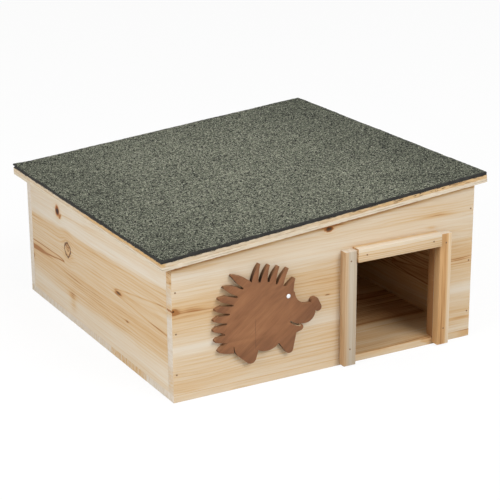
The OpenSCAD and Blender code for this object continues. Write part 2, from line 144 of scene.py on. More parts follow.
class Shade:
    """A material whose nodes are written as formulas."""

    def __init__(self, name):
        self.material = bpy.data.materials.new(name)
        self.material.use_nodes = True
        self.tree = self.material.node_tree
        self.surface = self.tree.nodes["Principled BSDF"]
        self.coordinates = self.tree.nodes.new("ShaderNodeTexCoord")

    def feed(self, socket, value):
        """Links an output to a socket, or writes a plain value into it."""
        if isinstance(value, Out):
            self.tree.links.new(value.socket, socket)
        else:
            socket.default_value = value

    def math(self, operation, *values):
        node = self.tree.nodes.new("ShaderNodeMath")
        node.operation = operation
        for socket, value in zip(node.inputs, values):
            self.feed(socket, value)
        return Out(self, node.outputs[0])

    def split(self, socket):
        node = self.tree.nodes.new("ShaderNodeSeparateXYZ")
        self.tree.links.new(socket, node.inputs[0])
        return [Out(self, output) for output in node.outputs]

    def vector(self, *parts):
        node = self.tree.nodes.new("ShaderNodeCombineXYZ")
        for socket, part in zip(node.inputs, parts):
            self.feed(socket, part)
        return Out(self, node.outputs[0])

    def place(self, axes):
        """Position on the piece in mm, along the three axes in the order given."""
        node = self.tree.nodes.new("ShaderNodeVectorMath")
        node.operation = "SCALE"
        node.inputs["Scale"].default_value = 1 / MM
        self.tree.links.new(self.coordinates.outputs["Object"], node.inputs[0])
        parts = self.split(node.outputs[0])
        return [parts[AXIS[axis]] for axis in axes]

    def facing(self, axis):
        """How squarely the surface faces along one axis of the piece, from -1 to 1."""
        return self.split(self.coordinates.outputs["Normal"])[AXIS[axis]]

    def scaled(self, vector, sizes, seed):
        """Coordinates in which a patch of the given sizes in mm is one unit wide."""
        node = self.tree.nodes.new("ShaderNodeMapping")
        node.inputs["Scale"].default_value = [1 / size for size in sizes]
        node.inputs["Location"].default_value = [seed * shift for shift in SEED_SHIFT]
        self.feed(node.inputs["Vector"], vector)
        return node.outputs[0]

    def noise(self, vector, sizes, detail=2.0, seed=0.0):
        """Noise from 0 to 1 whose patches have the given sizes in mm."""
        node = self.tree.nodes.new("ShaderNodeTexNoise")
        node.inputs["Scale"].default_value = 1.0
        node.inputs["Detail"].default_value = detail
        self.tree.links.new(self.scaled(vector, sizes, seed), node.inputs["Vector"])
        return Out(self, node.outputs["Fac"])

    def cells(self, vector, sizes, seed=0.0):
        """Cells of the given sizes in mm: the distance from a cell's middle, and a random value per cell."""
        node = self.tree.nodes.new("ShaderNodeTexVoronoi")
        node.inputs["Scale"].default_value = 1.0
        self.tree.links.new(self.scaled(vector, sizes, seed), node.inputs["Vector"])
        return Out(self, node.outputs["Distance"]), self.split(node.outputs["Color"])[0]

    def step(self, value, low, high):
        """0 below low, 1 above high, and a smooth rise between them."""
        node = self.tree.nodes.new("ShaderNodeMapRange")
        node.interpolation_type = "SMOOTHSTEP"
        self.feed(node.inputs["Value"], value)
        node.inputs["From Min"].default_value = low
        node.inputs["From Max"].default_value = high
        return Out(self, node.outputs["Result"])

    def between(self, value, stops):
        """Colour by value, straight between stops of a position from 0 to 1 and a linear colour."""
        node = self.tree.nodes.new("ShaderNodeValToRGB")
        elements = node.color_ramp.elements
        while len(elements) < len(stops):
            elements.new(0.5)
        for element, (position, colour) in zip(elements, stops):
            element.position = position
            element.color = colour
        self.feed(node.inputs["Fac"], value)
        return Out(self, node.outputs["Color"])

    def ramp(self, value, stops):
        """Colour by value, from stops of a position and a display colour."""
        return self.between(value, [(position, rgb(*colour)) for position, colour in stops])

    def curve(self, value, stops):
        """A number by value, straight between stops of a value and a number from 0 to 1."""
        first = stops[0][0]
        span = stops[-1][0] - first
        levels = [((place - first) / span, (level, level, level, 1.0)) for place, level in stops]
        return self.between((value - first) / span, levels)

    def mix(self, share, first, second):
        node = self.tree.nodes.new("ShaderNodeMix")
        node.data_type = "RGBA"
        for index, value in zip(MIX_INPUTS, (share, first, second)):
            self.feed(node.inputs[index], value)
        return Out(self, node.outputs[MIX_OUTPUT])

    def finish(self, colour, roughness, height, depth_mm, specular=0.3, metallic=0.0):
        """Sets the surface: colour, roughness, and relief of the given depth in mm."""
        node = self.tree.nodes.new("ShaderNodeBump")
        node.inputs["Distance"].default_value = depth_mm * MM
        self.feed(node.inputs["Height"], height)
        self.tree.links.new(node.outputs[0], self.surface.inputs["Normal"])
        self.feed(self.surface.inputs["Base Color"], colour)
        self.feed(self.surface.inputs["Roughness"], roughness)
        self.surface.inputs["Specular IOR Level"].default_value = specular
        self.surface.inputs["Metallic"].default_value = metallic
        return self.material


# Wood

PINE = [
    (0.0, (223, 213, 197)),
    (0.3, (218, 200, 174)),
    (0.55, (212, 185, 148)),
    (0.78, (204, 166, 119)),
    (1.0, (164, 113, 67)),
]
GOLD_PINE = [
    (0.0, (226, 208, 182)),
    (0.3, (216, 187, 148)),
    (0.55, (207, 169, 124)),
    (0.78, (198, 154, 104)),
    (1.0, (150, 100, 56)),
]
GREY_PINE = [
    (0.0, (203, 193, 177)),
    (0.3, (188, 172, 150)),
    (0.55, (199, 172, 139)),
    (0.78, (184, 150, 112)),
    (1.0, (138, 98, 62)),
]
END_GRAIN = [
    (0.0, (223, 214, 202)),
    (0.35, (212, 198, 179)),
    (0.6, (211, 183, 145)),
    (0.8, (202, 164, 118)),
    (1.0, (150, 106, 66)),
]
KNOT = [
    (0.0, (22, 10, 4)),
    (0.45, (62, 31, 12)),
    (0.75, (146, 82, 32)),
    (1.0, (198, 138, 78)),
]
BARK_RING = [
    (0.3, (72, 42, 20)),
    (0.7, (118, 74, 38)),
]

# A knot's place along and across the grain, its radius, how far it is drawn out along the grain, how dark
# it is, and whether only its rim is dark
Knot = namedtuple("Knot", "along across radius stretch darkness hollow", defaults=(1.2, 0.9, False))

# The pointed arch of a ring that leaves the face: its tip, the run from there to where it is half_width
# wide on each side (negative towards lower values), how far it leans across on that run, and its strength
Flame = namedtuple("Flame", "along across run half_width lean strength", defaults=(0.0, 1.0))

# A patch of resin or heartwood, or of painted shade: its middle, its half length and half width, and how
# much darker it is
StainOrShade = namedtuple("StainOrShade", "along across half_length half_width strength")


def pine(name, axes, seed, tones, palette=PINE, end_tones=((-300, 0.3), (300, 0.3)), fan=(0.0, 0.0),
         wander=8, pitch=4.6, lines=1.0, reveal_shade=0.0, saw_marks=1.0, eaves_shade=False, depth_tones=None,
         knots=(), flames=(), stains_and_shades=()):
    """Planed softwood. Axes are the grain, across it and through the board. Tones are stops of a place
    across the board and a tone, from 0 pale to 1 brown. End_tones are the same for the end grain, and
    depth_tones are added by the place through the board. The fan tilts the grain: its slope at the origin
    and how much that grows over 100 mm across. Wander is how far the grain strays, pitch the step of its
    rings, and lines and saw_marks the strength of rings and of saw marks. Reveal paints shade on cut ends
    that lie inside the board's length, and eaves paints shade on the strip under the roof. All lengths are
    in mm."""
    sh = Shade(name)
    along, across, through = sh.place(axes)
    at = sh.vector(along, across, through)

    # The grain's lines, bent by slow and quick waves
    drift = sh.noise(at, (260, 70, 70), 1.0, seed) - 0.5
    ripple = sh.noise(at, (60, 15, 15), 1.0, seed + 1) - 0.5
    bent = across + along * (across * (fan[1] / 100) + fan[0])
    bent = bent + drift * (2.4 * wander) + ripple * (0.8 * wander)

    # Knots push the grain aside and darken the wood round them
    extra = 0.0
    knot_parts = []
    for knot in knots:
        u = (along - knot.along) / (knot.radius * knot.stretch)
        v = (across - knot.across) / knot.radius
        apart = u * u + v * v
        ragged = sh.noise(at, (knot.radius * 0.7,) * 3, 1.0, seed + 2) - 0.5
        near = sh.math("SQRT", apart) + ragged * 0.6
        bent = bent - v * sh.math("EXPONENT", apart * -0.35) * (0.9 * knot.radius)
        extra = extra + sh.math("EXPONENT", apart * -0.45) * (0.28 * knot.darkness)
        knot_parts.append((knot, near))

    # Stains, and patches of painted shade, lie in streaks along the grain
    for stain_or_shade in stains_and_shades:
        u = (along - stain_or_shade.along) / stain_or_shade.half_length
        v = (bent - stain_or_shade.across) / stain_or_shade.half_width
        patchy = sh.noise(at, (40, 2.4, 2.4), 2.0, seed + 9)
        extra = extra + sh.math("EXPONENT", (u * u + v * v) * -1.0) * patchy * (2.0 * stain_or_shade.strength)

    # Flames have a dark outline and fainter nested rings inside, in place of the straight growth rings
    plain = 1.0
    for flame in flames:
        run = (along - flame.along) / flame.run
        width = sh.math("POWER", sh.math("MAXIMUM", run, 0.0), 0.7) * flame.half_width
        gap = abs(across + (bent - across) * 0.5 - flame.across - run * flame.lean) - width
        begun = sh.step(run, 0.0, 0.05)
        inside = (1.0 - sh.step(gap, -3.0, 0.0)) * begun
        outline = (1.0 - sh.step(abs(gap), 0.2, 1.7)) * begun
        nested = sh.step(sh.math("FRACT", gap / (pitch * 1.5)), 0.6, 0.95)
        extra = extra + (outline * 0.28 + inside * 0.08 + inside * nested * 0.07) * flame.strength
        plain = plain * (1.0 - inside)

    # Growth rings, with a dark late part each, over broad bands, streaks and fibres
    ring_at = sh.vector(bent, along, through)
    broad = sh.noise(ring_at, (15, 420, 200), 2.0, seed + 3) - 0.5
    jitter = sh.noise(ring_at, (11, 300, 80), 1.0, seed + 4)
    cycle = sh.math("FRACT", bent / pitch + jitter * 2.2)
    late = sh.step(cycle, 0.5, 0.88) * (1.0 - sh.step(cycle, 0.93, 1.0))
    base = sh.curve(bent, tones)
    zone = (sh.step(sh.noise(at, (260, 24, 24), 1.0, seed + 5), 0.3, 0.62) * 0.6 + 0.4) * (base + 0.2)
    streak = sh.noise(at, (130, 4.2, 4.2), 3.0, seed + 6) - 0.5
    fibre = sh.noise(at, (38, 1.0, 1.0), 2.0, seed + 7) - 0.5
    value = base - 0.04 + broad * 0.42 + late * zone * plain * (0.4 * lines)
    value = value + streak * 0.5 + fibre * 0.3 + extra
    if depth_tones:
        value = value + sh.curve(through, depth_tones)
    # Painted shade: a darker strip just under the roof's edge, where the roof board throws its shadow
    if eaves_shade:
        from_eaves = across - along * EAVES_RISE - EAVES_MM
        value = value + sh.step(from_eaves, *EAVES_SHADE_STRIP_MM) * EAVES_SHADE_TONE
    colour = sh.ramp(value, palette)

    # End grain: arcs of rings with saw marks across them
    saw = sh.noise(at, (5, 2.0, 12), 2.0, seed + 8) - 0.5
    arcs = across * 0.7 + through
    pores = sh.math("FRACT", sh.math("SQRT", arcs * arcs + (through + 60) * (through + 60)) / 2.6 + ripple)
    # Painted shade: cut ends inside the board's length, the sides of the entrance, are darkened as if in
    # shadow
    inner = (1.0 - sh.step(abs(along), *INNER_ENDS_MM)) if reveal_shade else 0.0
    saw = saw * (1.0 - inner)
    end_value = sh.curve(across, end_tones) + pores * 0.1 - 0.05 + saw * (0.75 * saw_marks) + streak * 0.3
    end_value = end_value + inner * reveal_shade
    end = sh.step(abs(sh.facing(axes[0])), 0.55, 0.8)
    colour = sh.mix(end, colour, sh.ramp(end_value, END_GRAIN))

    # The knots themselves: a bark ring alone where they are hollow
    for knot, near in knot_parts:
        if knot.hollow:
            share = sh.step(near, 0.74, 0.87) * (1.0 - sh.step(near, 0.99, 1.12)) * knot.darkness
            tint = sh.ramp(fibre + 0.5, BARK_RING)
        else:
            share = (1.0 - sh.step(near, 0.8, 1.15)) * knot.darkness
            tint = sh.ramp(near + fibre * 0.4, KNOT)
        colour = sh.mix(share, colour, tint)

    roughness = 0.62 + fibre * 0.3 + end * 0.16
    height = fibre * 0.9 + late * zone * 0.5 + end * saw
    return sh.finish(colour, roughness, height, 0.18, specular=0.15)


# Where the roof board's upper ply starts to be golden along the front, where it stops on the low end, away
# from the corner and towards the back, and where its front edge starts and stops to be knotty
GOLD_FRONT_MM = (150, 330)
GOLD_CORNER_MM = (2, 8)
GOLD_BACK_MM = (190, 300)
KNOTTY_FROM_MM = (318, 355)
KNOTTY_TO_MM = (412, 440)

# Height at which felt tar is smeared on the roof board's edge, and height of the crack in its lower ply
SMEAR_MM = (11.9, 12.6)
CRACK_MM = 2.6

# Spacing of the arched figure on the roof board's faces, and how far it swirls
ARCH_PITCH_MM = 13
ARCH_SWIRL_MM = 90

PALE_PLY = [
    (0.0, (226, 214, 195)),
    (0.5, (215, 199, 174)),
    (1.0, (196, 172, 138)),
]
GOLD_PLY = [
    (0.0, (226, 198, 154)),
    (0.5, (214, 176, 122)),
    (1.0, (176, 126, 72)),
]
SPLINTER_BROWN = rgb(84, 50, 24)
CRACK_BROWN = rgb(122, 88, 56)
TAR_BROWN = rgb(62, 46, 34)


def plywood():
    """Roof board: thin faces of pale veneer, and rough edges where each ply has its own colour."""
    sh = Shade("roof_plywood_layers")
    along, across, up = sh.place("xyz")
    at = sh.vector(along, across, up)
    swirl = sh.noise(at, (60, 260, 20), 2.0, 3.0) - 0.5
    cycle = sh.math("FRACT", (along + swirl * ARCH_SWIRL_MM) / ARCH_PITCH_MM)
    arch = sh.step(cycle, 0.3, 0.9) * (1.0 - sh.step(cycle, 0.92, 1.0))
    fibre = sh.noise(at, (1.1, 40, 1.1), 2.0, 4.0) - 0.5
    face = sh.ramp(0.34 + arch * 0.22 + fibre * 0.4 + swirl * 0.6, PINE)

    splinter = sh.noise(at, (11, 11, 0.9), 3.0, 5.0) - 0.5
    tear = sh.noise(at, (30, 30, 2.6), 2.0, 6.0) - 0.5
    level = up + tear * 2.4 + along * PLY_FALL - PLY_LINE_MM
    low_ply = sh.ramp(0.34 + splinter * 1.4 + tear * 0.5, PALE_PLY)
    on_front = sh.step(along, *GOLD_FRONT_MM) * 0.85
    on_low_end = (1.0 - sh.step(along, *GOLD_CORNER_MM)) * (1.0 - sh.step(across, *GOLD_BACK_MM))
    laid_bare = sh.math("MAXIMUM", on_front, on_low_end) * 0.85 + 0.15
    pale_top = sh.ramp(0.5 + splinter * 1.4, PALE_PLY)
    gold_top = sh.ramp(0.5 + splinter * 1.6, GOLD_PLY)
    top_ply = sh.mix(laid_bare, pale_top, gold_top)
    knotty = sh.step(along, *KNOTTY_FROM_MM) * (1.0 - sh.step(along, *KNOTTY_TO_MM)) * 0.7 + on_front * 0.3
    dash = sh.step(sh.noise(at, (8, 8, 1.8), 2.0, 9.0), 0.52, 0.6) * knotty
    top_ply = sh.mix(dash * 0.9, top_ply, SPLINTER_BROWN)
    edge = sh.mix(sh.step(level, -0.3, 0.3), low_ply, top_ply)
    cracked = sh.step(sh.noise(at, (70, 70, 40), 1.0, 7.0), 0.5, 0.6)
    crack = (1.0 - sh.step(abs(up + tear * 1.4 - CRACK_MM), 0.15, 0.5)) * cracked
    seam = (1.0 - sh.step(abs(level), 0.1, 0.45)) * sh.step(tear, -0.1, 0.12)
    edge = sh.mix(crack * 0.5 + seam * 0.4, edge, CRACK_BROWN)
    smear = sh.step(up + sh.noise(at, (8, 8, 3), 2.0, 8.0) * 5.0, *SMEAR_MM)
    edge = sh.mix(smear * 0.8, edge, TAR_BROWN)
    side = 1.0 - sh.step(abs(sh.facing("z")), 0.45, 0.8)
    colour = sh.mix(side, face, edge)
    return sh.finish(colour, 0.66 + fibre * 0.2, fibre * 0.6 + splinter * side * 1.4, 0.35)


# Cosine and sine of the slant of the plaque's grain
PLAQUE_SLANT = (0.78, 0.62)

# Distances from the plaque's middle over which its face grows darker, all round and along the snout
DARK_ROUND_MM = (36, 60)
DARK_SNOUT_MM = (62, 80)

# Distance from the middle within which sawn edges get painted shade, as in the gaps between the spines, and
# height above it from which all of them get it
GAP_REACH_MM = (52, 60)
CREST_FROM_MM = (34, 40)

# Half the length and half the height of the patch of painted light at the mouth, where the lit wall would
# show through the slit
MOUTH_LENGTH_MM = (8, 10)
MOUTH_HEIGHT_MM = (6, 8)

STAIN_BROWN = [
    (0.0, (108, 68, 42)),
    (0.45, (141, 95, 62)),
    (0.6, (150, 103, 68)),
    (1.0, (178, 132, 92)),
]
# Painted shade for sawn edges in the gaps between the spines and on the crest
GAP_SHADE_EDGE = [(0.0, (30, 17, 9)), (1.0, (72, 44, 26))]
TIP_EDGE = [(0.0, (84, 53, 33)), (1.0, (126, 86, 57))]
# Painted highlight for up-facing sawn edges
TOP_EDGE_HIGHLIGHT = [(0.0, (116, 79, 53)), (1.0, (160, 118, 84))]
SPLIT_BROWN = rgb(92, 58, 38)
# Painted light for the lip's up-facing edge in the mouth
MOUTH_PAINTED_LIGHT = rgb(226, 198, 160)


def stained_wood():
    """Plaque: a brown-stained face over slanting grain, a hairline split, and saw-cut edges that are
    mid-brown at the tips, with painted shade in the gaps and on the crest, a painted highlight on up-facing
    edges and painted light on the lip in the mouth."""
    sh = Shade("plaque_brown_stain")
    along, up, through = sh.place("xzy")
    cosine, sine = PLAQUE_SLANT
    slant_u = along * cosine + up * sine
    slant_v = up * cosine - along * sine
    at = sh.vector(slant_u, slant_v, through)
    figure = sh.noise(at, (60, 7, 7), 2.0, 1.0) - 0.5
    fibre = sh.noise(at, (16, 0.8, 0.8), 2.0, 2.0) - 0.5
    cloud = sh.noise(at, (30, 22, 22), 2.0, 3.0) - 0.5
    off_x = along - PLAQUE_MIDDLE_MM[0]
    off_z = up - PLAQUE_MIDDLE_MM[1]
    from_middle = sh.math("SQRT", off_x * off_x + off_z * off_z)
    outer = sh.step(from_middle, *DARK_ROUND_MM) * 0.13 + sh.step(off_x, *DARK_SNOUT_MM) * 0.16
    colour = sh.ramp(0.44 + figure * 0.6 + fibre * 0.5 + cloud * 0.5 - outer, STAIN_BROWN)
    wobble = sh.noise(at, (14, 14, 14), 2.0, 4.0) - 0.5
    split = 1.0 - sh.step(abs(along + wobble * 3.0 - SPLIT_X_MM), 0.12, 0.55)
    split = split * sh.step(up, *SPLIT_FOOT_MM)
    split = split * (1.0 - sh.step(up, *SPLIT_TOP_MM))
    colour = sh.mix(split * 0.55, colour, SPLIT_BROWN)
    sawn = sh.ramp(0.5 + fibre * 1.2, GAP_SHADE_EDGE)
    tip = sh.ramp(0.5 + fibre * 1.2, TIP_EDGE)
    # Painted shade: sawn edges near the body, in the gaps between the spines, and on the crest are dark; the
    # tips keep their mid-brown
    near_body = 1.0 - sh.step(from_middle, *GAP_REACH_MM)
    gap_shade = sh.math("MAXIMUM", near_body, sh.step(off_z, *CREST_FROM_MM))
    sawn = sh.mix(gap_shade, tip, sawn)
    # Painted highlight: up-facing sawn edges are paler, as if lit from above
    top_highlight = sh.ramp(0.5 + fibre * 1.2, TOP_EDGE_HIGHLIGHT)
    cut = 1.0 - sh.step(abs(sh.facing("y")), 0.35, 0.75)
    edge = sh.mix(sh.step(sh.facing("z"), 0.25, 0.75), sawn, top_highlight)
    # Painted light: the lip's up-facing edge in the mouth is pale, in place of the lit wall seen through the
    # slit
    mouth_u = abs(off_x - PLAQUE_MOUTH_MM[0])
    mouth_v = abs(off_z - PLAQUE_MOUTH_MM[1])
    mouth_light = (1.0 - sh.step(mouth_u, *MOUTH_LENGTH_MM)) * (1.0 - sh.step(mouth_v, *MOUTH_HEIGHT_MM))
    mouth_light = mouth_light * sh.step(sh.facing("z"), 0.1, 0.4)
    edge = sh.mix(mouth_light, edge, MOUTH_PAINTED_LIGHT)
    colour = sh.mix(cut, colour, edge)
    return sh.finish(colour, 0.55 + fibre * 0.3, fibre + figure * 0.5 - split * 2.0, 0.12)


# Sizes of the felt's granules, of the finer grit between them and of the dark specks
GRANULE_MM = (1.25, 1.25, 1.25)
GRIT_MM = (0.8, 0.8, 0.8)
SPECK_MM = (1.5, 2.4, 1.5)

# Distance from the felt's rim over which it grows paler, and where it is darker again at the high end
FELT_FADE_MM = (0, 160)
FELT_HIGH_MM = (330, 470)

FELT_SLATE = [
    (0.0, (24, 26, 24)),
    (0.25, (60, 63, 53)),
    (0.5, (99, 102, 87)),
    (0.75, (121, 124, 107)),
    (0.92, (144, 147, 128)),
    (1.0, (178, 179, 160)),
]
BITUMEN = [(0.0, (32, 32, 31)), (1.0, (64, 63, 60))]
CHIP_SLATE = [
    (0.0, (34, 36, 33)),
    (0.3, (70, 73, 63)),
    (0.6, (108, 111, 97)),
    (0.9, (150, 151, 135)),
    (1.0, (224, 222, 210)),
]


def mineral_felt(length_mm, depth_mm):
    """Roofing felt: grey-green slate granules and dark specks in bitumen, with a bare charcoal margin."""
    sh = Shade("felt_slate_granules")
    x, y, z = sh.place("xyz")
    at = sh.vector(x, y, z)
    dome, pick = sh.cells(at, GRANULE_MM, 1.0)
    grit_dome, grit = sh.cells(at, GRIT_MM, 2.0)
    cloud = sh.noise(at, (9, 9, 9), 2.0, 3.0) - 0.5
    patch = sh.noise(at, (90, 60, 60), 2.0, 4.0) - 0.5
    from_end = sh.math("MINIMUM", x, length_mm - x)
    from_side = sh.math("MINIMUM", y, depth_mm - y)
    margin = sh.math("MINIMUM", from_end, from_side)
    tone = sh.step(from_end, *FELT_FADE_MM) * 0.12 + sh.step(from_side, *FELT_FADE_MM) * 0.05
    tone = tone - sh.step(x, *FELT_HIGH_MM) * 0.06
    speck = 1.0 - sh.step(sh.cells(at, SPECK_MM, 7.0)[1], 0.14, 0.16)
    value = pick * 1.1 + grit * 0.5 - speck + cloud * 0.2 + patch * 0.2 + tone - 0.375
    fray = sh.noise(at, (4, 4, 4), 3.0, 5.0) * 4.0 + sh.noise(at, (22, 22, 22), 1.0, 6.0) * 4.0 - 4.0
    bare = 1.0 - sh.step(margin + fray, 0.6, 1.9)
    side = 1.0 - sh.step(sh.facing("z"), 0.5, 0.86)
    bitumen = sh.ramp(0.5 + cloud, BITUMEN)
    colour = sh.mix(sh.math("MAXIMUM", side, bare), sh.ramp(value, FELT_SLATE), bitumen)
    height = (1.0 - dome) * 0.8 + (1.0 - grit_dome) * 0.4
    return sh.finish(colour, 0.86, height, 0.5, specular=0.2)


def loose_granules():
    """Single slate chips, each with its own tone."""
    sh = Shade("felt_loose_chips")
    node = sh.tree.nodes.new("ShaderNodeAttribute")
    node.attribute_name = "tone"
    tone = Out(sh, node.outputs["Fac"])
    at = sh.vector(*sh.place("xyz"))
    grit = sh.noise(at, (0.5, 0.5, 0.5), 2.0, 1.0) - 0.5
    return sh.finish(sh.ramp(tone + grit * 0.25, CHIP_SLATE), 0.8, grit, 0.1, specular=0.25)


# Metal and paint

def zinc():
    """Hinges and screws: plated steel with a faint rolled grain and dull spots."""
    sh = Shade("hinge_zinc_plate")
    at = sh.vector(*sh.place("xyz"))
    rolled = sh.noise(at, (0.5, 14, 0.5), 2.0, 1.0) - 0.5
    spots = sh.noise(at, (3.5, 3.5, 3.5), 3.0, 2.0) - 0.5
    colour = sh.ramp(0.5 + rolled * 0.6 + spots * 0.8, [(0.0, (142, 144, 147)), (1.0, (206, 207, 208))])
    return sh.finish(colour, 0.38 + spots * 0.4, rolled, 0.03, specular=0.5, metallic=1.0)


def brad_steel():
    """Brad heads: dark steel with a trace of rust."""
    sh = Shade("brad_dull_steel")
    at = sh.vector(*sh.place("xyz"))
    rust = sh.noise(at, (1.2, 1.2, 1.2), 2.0, 1.0)
    colour = sh.ramp(rust, [(0.35, (118, 92, 68)), (0.65, (138, 98, 62))])
    return sh.finish(colour, 0.5 + rust * 0.2, rust, 0.05, specular=0.4, metallic=0.15)


def white_enamel():
    """Plaque's eye: white paint with slight brush relief."""
    sh = Shade("eye_white_paint")
    at = sh.vector(*sh.place("xyz"))
    brush = sh.noise(at, (1.4, 0.5, 1.4), 2.0, 1.0)
    colour = sh.ramp(brush, [(0.3, (240, 241, 243)), (0.7, (252, 252, 253))])
    return sh.finish(colour, 0.32 + brush * 0.1, brush, 0.04, specular=0.5)


# Meshes

# Corners nearer than this are one corner, faces that meet flatter than this are one face, and edges that
# are sharper than this are rounded
WELD_MM = 0.002
FLAT_DEGREES = 0.5
SHARP_DEGREES = 30

# An edge whose ends are this near the height of the floor board's top lies in the seam there
SEAM_MM = 0.1

# Radii of the plaque's sawn turns and of its broken edges
PLAQUE_TURN_MM = 0.9
PLAQUE_EDGE_MM = 0.35

# The eye's dome: shares of its radius, how far each lies behind the CAD plug's front in mm, its steps round,
# and the distance below which its corners are one corner
EYE_DOME = ((0.0, -0.5), (0.45, -0.4), (0.8, -0.1), (1.0, 0.4))
EYE_STEPS = 28
EYE_WELD_MM = 0.01

# Spacing of the points round the roof board and over the felt
RIM_PITCH_MM = 2.5
FELT_PITCH_MM = 2.5

# How far the roof board's edge stands out at its foot, under the groove between its plies, at both edges of
# the groove's floor, over the groove and at its top, and the height of that floor and of each flank
PLY_OUT_MM = (0.2, 0.3, -0.35, -0.3, 0.0, -0.05)
PLY_GROOVE_MM = 0.35

# How far the noise moves from one pair of these loops to the next, and from loop to loop
PLY_SHIFT = (7.0, 0.4)

# Tears in the roof board's edge, each with its size and depth, and chips along its foot
EDGE_TEARS_MM = ((6, 0.4), (2.2, 0.25))
EDGE_CHIP_MM = (5, 0.9)

# Relief of the felt's face: the size of each kind of bump, a layer of the noise, and its height
FELT_RELIEF_MM = ((70, 0.0, 0.35), (9, 5.0, 0.22), (3.1, 9.0, 0.22))

# The felt's rim: how far in it is drawn, how much that varies, how far its face drops there, and the sizes
# and noise layers of its fraying
RIM_IN_MM = 0.3
RIM_FRAY_MM = 0.6
RIM_DROP_MM = 0.3
RIM_FRAYS_MM = ((5, 2.0), (17, 3.0))

# The felt's far corner: how far from it the sheet lifts and by how much, and how far its split reaches
LIFT_REACH_MM = 40
LIFT_MM = 1.8
SPLIT_REACH_MM = 9

# Loops down the felt's edge: a share of its thickness, how far the edge stands out there, and how deep the
# corner's split is there
FELT_EDGE_MM = ((0.8, 0.4, 0.0), (0.5, 0.3, 2.2), (0.0, 0.1, 0.0))

# Size and depth of the fraying down the felt's edge, and the step between the noise layers of its loops
EDGE_FRAY_MM = (4, 0.5)
LOOP_LAYER = 11.0

# Points within this distance of the felt's outline belong to its rim
NEAR_RIM_MM = 3

# Loose chips: their number, the seed of their draws, their distance from the rim, sizes and tones, and the
# share that is paler and by how much
CHIP_COUNT = 7000
CHIP_SEED = 41
CHIP_MARGIN_MM = 3
CHIP_MM = (0.5, 1.05)
CHIP_TONES = (0.04, 0.12, 0.3, 0.5, 0.62, 0.74)
PALE_CHIPS = 0.03
PALE_LIFT = 0.35

# A chip's six corners and eight faces, and the range of the share by which each corner is drawn in or out
CHIP_ENDS = ((1, 0, 0), (-1, 0, 0), (0, 0.8, 0), (0, -0.8, 0), (0.1, 0, 0.55), (0, 0.1, -0.55))
CHIP_FACES = ((0, 2, 4), (2, 1, 4), (1, 3, 4), (3, 0, 4), (2, 0, 5), (1, 2, 5), (3, 1, 5), (0, 3, 5))
CHIP_REACH = (0.7, 1.2)


def add_piece(name, mesh, body, slot, material, *nodes):
    """Puts a mesh into the scene on a body, and hides the CAD nodes that it stands for."""
    piece = bpy.data.objects.new(name, mesh)
    bpy.context.scene.collection.objects.link(piece)
    mesh.materials.append(material)
    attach(piece, body)
    if nodes:
        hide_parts(*nodes)
    return piece


def to_mesh(work, name, sharp_degrees=40):
    """Ends a bmesh as a mesh that is smooth except at its sharp edges."""
    bmesh.ops.recalc_face_normals(work, faces=work.faces)
    mesh = bpy.data.meshes.new(name)
    work.to_mesh(mesh)
    work.free()
    mesh.shade_smooth()
    mesh.set_sharp_from_angle(angle=math.radians(sharp_degrees))
    return mesh


def board_copy(node):
    """A CAD node's solid with its split corners joined and its flat faces whole."""
    work = bmesh.new()
    work.from_mesh(CAD[node].data)
    bmesh.ops.remove_doubles(work, verts=work.verts, dist=WELD_MM * MM)
    flat = math.radians(FLAT_DEGREES)
    bmesh.ops.dissolve_limit(work, angle_limit=flat, verts=work.verts, edges=work.edges)
    return work


def ease(work, width_mm, segments, chosen=lambda edge: True):
    """Rounds the sharp edges that are chosen."""
    sharp = math.radians(SHARP_DEGREES)
    edges = [e for e in work.edges if e.calc_face_angle(0) > sharp and chosen(e)]
    bmesh.ops.bevel(work, geom=edges, offset=width_mm * MM, segments=segments, profile=0.5,
                    affect="EDGES", clamp_overlap=True)


def worn_board(node, slot, material, arris_mm=0.8):
    """A board with sanded arrises in place of its CAD node. Edges in the seam between the walls and the
    floor board stay sharp."""
    work = board_copy(node)
    seam_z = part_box("floor_panel")[1].z
    ease(work, arris_mm, 2, lambda edge: any(abs(v.co.z - seam_z) > SEAM_MM * MM for v in edge.verts))
    body = CAD[node]["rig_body"]
    return add_piece(node + "_board", to_mesh(work, node + "_board"), body, slot, material, node)


def sawn_plaque(material):
    """The plaque with blunt tips, rounded saw turns and a broken front edge."""
    work = board_copy("hedgehog_plaque")
    ease(work, PLAQUE_TURN_MM, 3, lambda edge: abs(edge.verts[0].co.y - edge.verts[1].co.y) > MM)
    ease(work, PLAQUE_EDGE_MM, 2)
    return add_piece("hedgehog_plaque_cutout", to_mesh(work, "hedgehog_plaque_cutout"), "house",
                     "plaque_stain", material, "hedgehog_plaque")


def eye_stud(material):
    """A domed plug in the plaque's eye hole."""
    low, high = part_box("plaque_eye")
    middle = (low + high) / 2
    radius = (high.x - low.x) / 2
    profile = [(share * radius, low.y + behind_mm * MM) for share, behind_mm in EYE_DOME]
    profile += [(radius, high.y), (0.0, high.y)]
    work = bmesh.new()
    chain = [work.verts.new((middle.x + r, y, middle.z)) for r, y in profile]
    edges = [work.edges.new(pair) for pair in zip(chain, chain[1:])]
    bmesh.ops.spin(work, geom=chain + edges, cent=middle, axis=(0, 1, 0), angle=2 * math.pi,
                   steps=EYE_STEPS)
    bmesh.ops.remove_doubles(work, verts=work.verts, dist=EYE_WELD_MM * MM)
    return add_piece("plaque_eye_stud", to_mesh(work, "plaque_eye_stud"), "house", "eye_white",
                     material, "plaque_eye")


